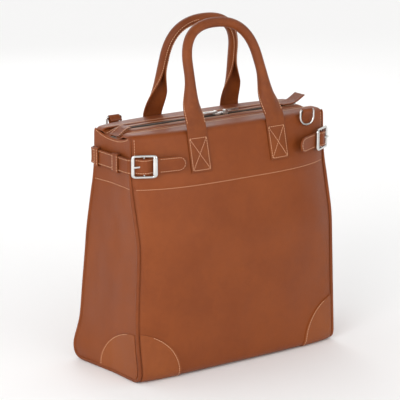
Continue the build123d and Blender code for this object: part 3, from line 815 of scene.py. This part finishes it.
def handle_strip(side, lean_side, middle):
    """Rows of one handle's strip, the function that places a point on a row, and its rope line."""
    arch, arch_runs = handle_line(lean_side)
    out = np.array([0.0, side * math.cos(LEAN), math.sin(LEAN)])
    rise_way = np.array([0.0, -side * math.sin(LEAN), math.cos(LEAN)])
    hinge = np.array([middle, side * 73.5, 396.5])
    rows = [("tab", -79.0, z) for z in TAB_HEIGHTS]
    rows += [("leg", k, 0.0) for k in range(len(arch))]
    rows += [("tab", 79.0, z) for z in TAB_HEIGHTS[::-1]]

    def strip_point(u, row, lift=0.0):
        kind, place, height = rows[row]
        if kind == "tab":
            turned = 1.0 if place < 0 else -1.0
            return on_wall(middle + place + turned * (u - 0.5) * 37.5, height, side, 2.9 + lift)[0]
        centre = hinge + np.array([arch[place][0], 0, 0]) + rise_way * arch[place][1]
        run = np.array([arch_runs[place][0], 0, 0]) + rise_way * arch_runs[place][1]
        across = np.cross(run, out) * -side
        angle, width, reach = roll_at(arch[place][1])
        radius = width / angle
        turn = (u - 0.5) * angle
        outward = radius * (math.cos(turn) - 1) + reach
        normal = across * math.sin(turn) + out * math.cos(turn)
        return centre + across * math.sin(turn) * radius + out * outward + normal * lift

    rope_line = [hinge + np.array([p[0], 0, 0]) + rise_way * p[1] for p in arch if p[1] > 78.0]
    return strip_point, rows, rope_line, out


HANDLES = {-1: handle_strip(-1, -9.0, -1.0), 1: handle_strip(1, -8.0, 11.0)}
for side, side_name in SIDES:
    strip_point, rows, rope_line, out = HANDLES[side]
    last_row = len(rows) - 1
    bm = laid_grid(
        28, last_row, lambda u, v: strip_point(u, int(round(v * last_row))), out=(0, side, 0)
    )
    cover = hide_piece(f"{side_name}_handle_strip", bm, 2.2, HANDLE_LEATHER, edge=0.5)
    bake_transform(cover)
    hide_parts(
        f"{side_name}_handle_cover", f"left_{side_name}_handle_tab", f"right_{side_name}_handle_tab"
    )
    bm = laid_grid(14, 110, cord_place(rope_line, 5.0, 110, tuple(out)), wrap=True)
    core = hide_piece(f"{side_name}_rope", bm, 0.0, ROPE, edge=0)
    dress(core, f"{side_name}_handle", "rope", f"{side_name}_handle_core")
print("handle strip rows", last_row + 1)

# %% [markdown]
# The zip runs between two raised strips of leather that are sewn to cloth tapes. The strips wave
# a little, since nothing holds them flat. The coil is a row of small nylon loops on each tape.

# %% Zip strips, tapes and end tabs


def end_droop(x):
    """How far the zip sinks as it nears the sagging edge of a gusset."""
    return 11.0 * ease(abs(x), 170.0, 194.0)


def zip_strip_place(side):
    profile = rounded_path([(36, 396.4), (27.5, 396.4), (19, 401.0), (8, 401.4)], (3, 4), (3, 4, 8), (4, 4))
    even, _, _ = path_frames([(0, y, z) for y, z in profile], 26)

    def place(u, v):
        x = (2 * u - 1) * 194.0
        _, y, z = even[int(round(v * 26))]
        z -= end_droop(x) * ease(36 - y, 4.0, 20.0)
        free = ease(36 - y, 8.0, 26.0)
        wave = 0.8 * math.sin(x / 19.0 + side) + 0.7 * noise.noise(Vector((x / 26.0, side * 4.0, 0.0)))
        return (x, side * (y + 0.35 * wave * free), z + wave * free * 0.6)
    return place


def tape_place(side):
    def place(u, v):
        x = (2 * u - 1) * 193.5
        return (x, side * (0.9 + 17 * v), 399.9 - end_droop(x))
    return place


for side, side_name in SIDES:
    bm = laid_grid(150, 26, zip_strip_place(side), out=(0, 0, 1))
    strip = hide_piece(f"{side_name}_zip_band", bm, 1.4, TRIM_LEATHER, edge=0.35)
    dress(strip, "case", "trim_leather", f"{side_name}_zip_strip")
    bm = laid_grid(120, 10, tape_place(side), out=(0, 0, 1))
    tape = hide_piece(f"{side_name}_tape", bm, 0.7, TAPE, edge=0)
    dress(tape, "case", "zip_tape", f"{side_name}_zip_tape")

flat_tab = [(x, 0, 403.7 - end_droop(x)) for x in range(-193, -163, 3)]
tab = ribbon(flat_tab, 20, 1, (0, 1, 0), 26.0, 0.4, out=(0, 0, 1), name="left_zip_stop", wall=1.2)
dress(tab, "case", "trim_leather", "left_zip_end_tab")
flat = rounded_path([(141, 404.3), (166, 404.3), (187, 416.5)], (36,), (8, 8), (10,))
tab = ribbon(
    [(x, 0, z) for x, z in flat], 40, 1, (0, 1, 0), 26.0, 0.5, out=(0, 0, 1), name="right_zip_stop",
    wall=2.2,
)
dress(tab, "case", "trim_leather", "right_zip_end_tab")
print("zip strips, tapes and two end tabs")

# %% [markdown]
# The rings hang from short folds of leather sewn to the shoulder of the case. Inside, facings
# and a cloth lining follow the leather, so the open corners show leather and not a void.

# %% Ring folds, facings and lining
RING_X = 144.0
for side, end, side_name in ((-1, 1, "front"), (1, -1, "back")):
    shoulder = abs(on_wall(RING_X, 380.0, side, 1.2)[0][1])
    fold = [
        (shoulder + 0.3, 378.0), (shoulder + 1.2, 390.0), (74.6, 400.5), (76.1, 405.0),
        (73.0, 408.2), (69.8, 405.4), (67.4, 401.0), (62.5, 399.8),
    ]
    rounded = rounded_path([(side * y, z) for y, z in fold], (6, 4, 3, 3, 3, 4), (4,) * 7, (4,) * 6)
    line = [(RING_X * end, y, z) for y, z in rounded]
    chape = ribbon(line, 60, side, (1, 0, 0), 20.0, 0.0, name=f"{side_name}_ring_fold", wall=1.7)
    dress(chape, "case", "trim_leather", f"{side_name}_d_ring_chape")


def inner_place(side, high, low, lift):
    """Sheet behind a panel, from one height to another, or to the base board if low is None."""
    board_rise = np.array([0, 0, 6.0 if low is None else 0.0])

    def place(u, v):
        x = (2 * u - 1) * (PANEL_END - 3.5)
        start, stop = t_at(x, high), (1.0 if low is None else t_at(x, low))
        return wall(x, start + (stop - start) * v, side, lift)[0] + board_rise * v
    return place


for side, side_name in SIDES:
    bm = laid_grid(70, 24, inner_place(side, 386.0, 313.0, -4.2), out=(0, -side, 0))
    facing = hide_piece(f"{side_name}_inner_band", bm, 1.2, FLESH_SIDE, edge=0)
    dress(facing, "case", "case_leather", f"{side_name}_facing")
    bm = laid_grid(60, 50, inner_place(side, 312.0, None, -5.0), out=(0, -side, 0))
    cloth = hide_piece(f"{side_name}_lining", bm, 0.6, LINING, edge=0)
    dress(cloth, "case", "lining_cloth", "lining")
for end, end_name in ENDS:
    def end_lining(u, v, high=378.0, low=313.0):
        z = high + (low - high) * v
        return gusset_point((2 * u - 1) * (end_depth(z) - 8), z, end, -4.4)
    bm = laid_grid(30, 20, end_lining, out=(-end, 0, 0))
    facing = hide_piece(f"{end_name}_inner_band", bm, 1.2, FLESH_SIDE, edge=0)
    dress(facing, "case", "case_leather", f"{end_name}_facing")
    bm = laid_grid(30, 60, lambda u, v: end_lining(u, v, 312.0, 10.0), out=(-end, 0, 0))
    dress(hide_piece(f"{end_name}_end_lining", bm, 0.6, LINING, edge=0), "case", "lining_cloth", "lining")

print("two ring folds, four facings and the lining")

# %% [markdown]
# Thread makes the piece look handmade. One small stitch is repeated along every seam, a little
# sunk into the leather. Rows are gathered by body so that each stays a single light piece.

# %% Stitches
SEAMS = {}


def sew(body, points, normals, pitch=4.0, length=3.0, thick=0.5, sink=0.12):
    """Row of stitches along a line of points that lie on the leather."""
    points, normals = np.array(points, float), np.array(normals, float)
    lengths = run_lengths(points)
    count = max(1, int(lengths[-1] / pitch))
    bm = bmesh.new()
    for k in range(count):
        middle = (k + 0.5) * lengths[-1] / count
        ends = [
            np.array([np.interp(middle + off, lengths, points[:, a]) for a in range(3)])
            for off in (-length / 2, length / 2)
        ]
        up = np.array([np.interp(middle, lengths, normals[:, a]) for a in range(3)])
        run = ends[1] - ends[0]
        size = np.linalg.norm(run)
        if size < 0.5:
            continue
        run, up = Vector(run / size), Vector(up).normalized()
        side_way = up.cross(run).normalized()
        up = run.cross(side_way)
        centre = Vector((ends[0] + ends[1]) / 2) - up * sink
        ways = zip(run * size * 0.52, side_way * thick, up * thick, centre)
        frame_in = Matrix((*ways, (0, 0, 0, 1)))
        turned = frame_in @ Matrix.Rotation(math.pi / 2, 4, "Y")
        bmesh.ops.create_uvsphere(bm, u_segments=6, v_segments=4, radius=1.0, matrix=turned)
    SEAMS.setdefault(body, []).append(bm)


def sew_wall(points, side, lift=0.25, **more):
    """Row on a panel, given as (x, z) pairs."""
    spots = [on_wall(x, z, side, lift) for x, z in points]
    sew("case", [s[0] for s in spots], [s[1] for s in spots], **more)


def dense(*corners, step=3.0):
    """Points along straight runs between corners."""
    line = []
    for a, b in zip(corners, corners[1:]):
        count = max(2, int(math.dist(a, b) / step))
        line += [tuple(np.array(a) + (np.array(b) - np.array(a)) * k / count) for k in range(count)]
    return line + [corners[-1]]


for side in (-1, 1):
    sew_wall(dense((-190, 313), (190, 313)), side, pitch=3.6, length=2.6)
    for end in (-1, 1):
        sew_wall(dense((end * 189.5, 367), (end * 189.5, 394)), side)
        edge = []
        for k in range(25):
            run = 98.0 * math.sin(k / 24 * math.pi / 2)
            x = end * (PANEL_END - 0.6 - max(0.0, patch_edge(run) - 3.4))
            edge.append(wall(x, t_from_base(x, run), side, 1.6))
        sew("case", [e[0] for e in edge], [e[1] for e in edge])
        if side > 0:
            continue
        edge = []
        for k in range(25):
            z = 8.0 + 68.0 * math.sin(k / 24 * math.pi / 2)
            outer, inner = gusset_patch_span(z)
            edge.append(gusset_point(side * min(outer, inner + 3.4), z, end, 1.6))
        sew("case", edge, [(end, 0, 0)] * 25)
    shelf = [wall(x, 0.004, side, 0.2)[0] + np.array([0, side * 3.2, 0]) for x in np.linspace(-188, 188, 120)]
    sew("case", shelf, [(0, 0, 1)] * 120)
    place = zip_strip_place(side)
    for row in (0.5, 0.9):
        line = [np.array(place(u, row)) + (0, 0, 0.2) for u in np.linspace(0.005, 0.995, 150)]
        sew("case", line, [(0, 0, 1)] * 150, pitch=3.8)
    strip_point, rows = HANDLES[side][:2]
    for x in (-80.0, 78.0) if side < 0 else (-68.0, 90.0):
        a, b, c, d = [(x + across, z) for across, z in ((-16, 386), (-16, 336), (16, 336), (16, 386))]
        for line in (dense(a, b, c, d, a), dense(a, c), dense(d, b)):
            sew_wall(line, side, 3.1)
    legs = [i for i, row in enumerate(rows) if row[0] == "leg" and i < len(rows) / 2]
    legs_right = [i for i, row in enumerate(rows) if row[0] == "leg" and i > len(rows) / 2]
    body = "front_handle" if side < 0 else "back_handle"
    for group in (legs[3:70], legs_right[-70:-3]):
        for u in (0.055, 0.945):
            line = np.array([strip_point(u, i, 0.25) for i in group])
            lifts = np.array([strip_point(u, i, 1.25) for i in group]) - line
            sew(body, line, lifts)
for end in (-1, 1):
    for z_of in (lambda y: STITCH_HEIGHT, lambda y: gusset_top(y) - 4.0):
        line = []
        for y in np.linspace(-52, 52, 40):
            z = z_of(y)
            reach = end_depth(z) - 6.0
            line.append(gusset_point(y / 52 * reach, z, end, 0.25))
        sew("case", line, [(end, 0, 0)] * 40, pitch=3.6, length=2.6)
    even, runs, length = path_frames(STRAP_LINES[end], 300)
    case_part = [i for i in range(301) if i * length / 300 < length - 57]
    tip_part = [i for i in range(301) if length - 47 < i * length / 300 < length - 12]
    for body, part in (("case", case_part), ("left_tip" if end < 0 else "right_tip", tip_part)):
        faces = [np.cross(runs[i], (0, 0, 1)) * -end for i in part]
        for high in (-10.2, 10.2):
            line = [even[i] + np.array([0, 0, high]) + f * 1.5 for i, f in zip(part, faces)]
            sew(body, line, faces)
    centre, forward = even[part[-1]] + faces[-1] * 1.5, runs[part[-1]] * 9.8
    nose = [
        centre + forward * math.cos(a) + np.array([0, 0, 10.0 * math.sin(a)])
        for a in np.linspace(-math.pi / 2, math.pi / 2, 20)
    ]
    sew(body, nose, [faces[-1]] * 20)
    for y_row in (-25.0, -13.0, 32.5, 39.5):
        line = [(end * 204.7, y_row, z) for z in np.linspace(339, 365, 10)]
        sew("case", line, [(end, 0, 0)] * 10)
for y_row in (-10.5, 10.5):
    sew("case", [(x, y_row, 404.6 - end_droop(x)) for x in np.linspace(-190, -167, 12)], [(0, 0, 1)] * 12)


def joined(parts):
    """One bmesh from many."""
    whole = bmesh.new()
    for part in parts:
        mesh = bpy.data.meshes.new("part")
        part.to_mesh(mesh)
        part.free()
        whole.from_mesh(mesh)
        bpy.data.meshes.remove(mesh)
    return whole


for body, rows_of_thread in SEAMS.items():
    piece = put_in_scene(f"{body}_stitches", joined(rows_of_thread))
    for polygon in piece.data.polygons:
        polygon.use_smooth = True
    piece.data.materials.append(THREAD)
    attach(piece, body)
    print(piece.name, len(piece.data.polygons), "faces")

# %% [markdown]
# A zip coil is one nylon wire wound into loops that hook between those of the other side. Each
# loop is a small flattened bead here, laid across the tape. The two rows are half a step apart,
# which is how real loops mesh, and plain beads stay light when there are hundreds.

# %% Zip coil
for side, side_name in SIDES:
    stretches = []
    for first in range(0, 236, 40):
        bm = bmesh.new()
        for k in range(first, min(236, first + 40)):
            x = -177.2 + k * 1.5 + (0.75 if side > 0 else 0.0)
            shape = Matrix.Translation((x, side * 1.7, 401.4)) @ Matrix.Diagonal((0.52, 1.6, 1.0, 1.0))
            bmesh.ops.create_uvsphere(bm, u_segments=6, v_segments=5, radius=1.0, matrix=shape)
        stretches.append(bm)
    coil = put_in_scene(f"{side_name}_coil_loops", joined(stretches))
    coil.data.materials.append(COIL)
    dress(coil, "case", "zip_coil", f"{side_name}_zip_coil")

print("two rows of coil loops")

# %% [markdown]
# The buckles are cast frames with softly domed bars. Other metal keeps its own shape and only
# gets its finish.

# %% Metal and other rigid pieces


def buckle_place(end):
    """Domed frame: rails above and below, a narrow bar on one side and a wide one by the tip."""
    corners = [(0, -17), (-18.2, -17), (-18.2, 17), (17.6, 17), (17.6, -17), (0, -17)]
    loop = rounded_path(corners, (5.0, 5.0, 5.0, 5.0), (8, 12, 14, 12, 8), (8, 8, 8, 8))
    runs = np.gradient(loop, axis=0)
    runs[0] = runs[-1] = np.array([-1.0, 0.0])
    runs /= np.linalg.norm(runs, axis=1)[:, None]
    last = len(loop) - 1

    def place(u, v):
        i = int(round(v * last))
        out = np.array([-runs[i][1], runs[i][0]])
        upright = abs(runs[i][1]) ** 2
        half = 2.0 + upright * (2.1 if loop[i][0] > 0 else 0.8)
        high = 1.75 + upright * (0.9 if loop[i][0] > 0 else 0.2)
        turn = 2 * math.pi * u
        swell = math.copysign(abs(math.cos(turn)) ** 0.75, math.cos(turn))
        rise = math.copysign(abs(math.sin(turn)) ** 0.85, math.sin(turn))
        along, up = loop[i] + out * half * swell
        depth = -rise * high if rise > 0 else -rise * 1.5
        x, y, z = in_buckle(along, depth)
        return (-end * x, y, z + up)
    return place, last


for end, end_name in ENDS:
    place, last = buckle_place(end)
    bm = laid_grid(16, last, place, wrap=True)
    frame_piece = hide_piece(f"{end_name}_buckle", bm, 0.0, NICKEL, edge=0)
    dress(frame_piece, "case", "nickel", f"{end_name}_buckle_frame")
    bar = [(*in_buckle(0.0, 1.6)[:2], z) for z in (335.5, 345.0, 359.0, 368.5)]
    bar = [(-end * x, y, z) for x, y, z in bar]
    bm = laid_grid(12, 6, cord_place(bar, 1.5, 6, (1.0, 0.3, 0.0)), wrap=True)
    bar_piece = hide_piece(f"{end_name}_buckle_bar", bm, 0.0, NICKEL, edge=0)
    dress(bar_piece, "case", "nickel", f"{end_name}_buckle_frame")

FINISH = {
    "base_board": BOARD, "left_slider": ZIP_METAL, "right_slider": ZIP_METAL,
    "left_pull_tab": ZIP_METAL, "right_pull_tab": ZIP_METAL, "left_buckle_prong": NICKEL,
    "right_buckle_prong": NICKEL, "front_d_ring": NICKEL, "back_d_ring": NICKEL,
}
for node, material in FINISH.items():
    finish = bpy.data.objects[node].data.materials
    finish.clear()
    finish.append(material)

print("domed buckle frames, and finishes on", len(FINISH), "rigid pieces")

# %% [markdown]
# A pale floor, a large soft window on the left, a weaker one in front and a rim light behind
# keep the leather warm. Black cards stand outside the view, and give the metal dark edges.

# %% Floor, light and camera
FLOOR_PALE, _, floor_shader, _ = new_material("pale floor")
set_values(floor_shader, Base_Color=(0.93, 0.93, 0.93, 1), Roughness=0.9)
CARD_BLACK, _, card_shader, _ = new_material("black card")
set_values(
    card_shader, Base_Color=(0.006, 0.006, 0.006, 1), Roughness=0.95, Specular_IOR_Level=0.0
)


def staged_sheet(name, half, height, material):
    """Flat square that is there for the view only."""
    bm = bmesh.new()
    bmesh.ops.create_grid(bm, x_segments=1, y_segments=1, size=half)
    bmesh.ops.translate(bm, verts=bm.verts, vec=(0, 0, height))
    sheet = put_in_scene(name, bm)
    sheet.data.materials.append(material)
    return sheet


staged_sheet("floor", 9000.0, -0.6, FLOOR_PALE)

world = bpy.data.worlds.new("studio")
bpy.context.scene.world = world
world.use_nodes = True
world.node_tree.nodes["Background"].inputs["Color"].default_value = (1.0, 0.995, 0.99, 1)
world.node_tree.nodes["Background"].inputs["Strength"].default_value = 0.98


def aim(obj, place, target):
    """Put an object at its place and turn it to look at the target."""
    obj.location = place
    obj.rotation_euler = (Vector(target) - Vector(place)).to_track_quat("-Z", "Y").to_euler()


def soft_light(name, place, target, size, power):
    """Rectangular lamp that looks at its target."""
    lamp = bpy.data.lights.new(name, "AREA")
    lamp.shape = "RECTANGLE"
    lamp.size, lamp.size_y = size
    lamp.energy = power
    holder = bpy.data.objects.new(name, lamp)
    bpy.context.scene.collection.objects.link(holder)
    aim(holder, place, target)


soft_light("left window", (-2.4, -1.5, 1.3), (0, 0, 0.2), (1.5, 1.6), 36)
soft_light("front window", (0.4, -2.8, 1.0), (0, 0, 0.2), (1.4, 1.0), 15)
soft_light("rim sheet", (0.9, 2.2, 1.4), (0, 0, 0.3), (1.0, 1.0), 8)


def dark_card(name, place, target, size):
    """Black card that the camera does not see, for the dark edges of the metal."""
    card = staged_sheet(name, 500.0, 0.0, CARD_BLACK)
    card.scale = (*size, 1)
    aim(card, place, target)
    card.visible_camera = False


dark_card("card above", (0.0, -0.3, 1.9), (0, 0, 0.3), (1.5, 1.1))
dark_card("card right", (1.5, -1.4, 0.6), (0, 0, 0.35), (0.9, 1.2))
dark_card("card by the camera", (-1.0, -2.6, 0.35), (0, 0, 0.35), (0.35, 0.5))

lens = bpy.data.cameras.new("view")
lens.sensor_width = 36.0
lens.lens = 184.1
lens.clip_end = 60.0
eye = bpy.data.objects.new("view", lens)
bpy.context.scene.collection.objects.link(eye)
aim(eye, (-1.9496, -2.6694, 1.0913), (-0.0224, 0.0, 0.2607))
bpy.context.scene.camera = eye
bpy.context.scene.view_settings.view_transform = "Standard"

print("floor, three soft lights, three dark cards and the camera")
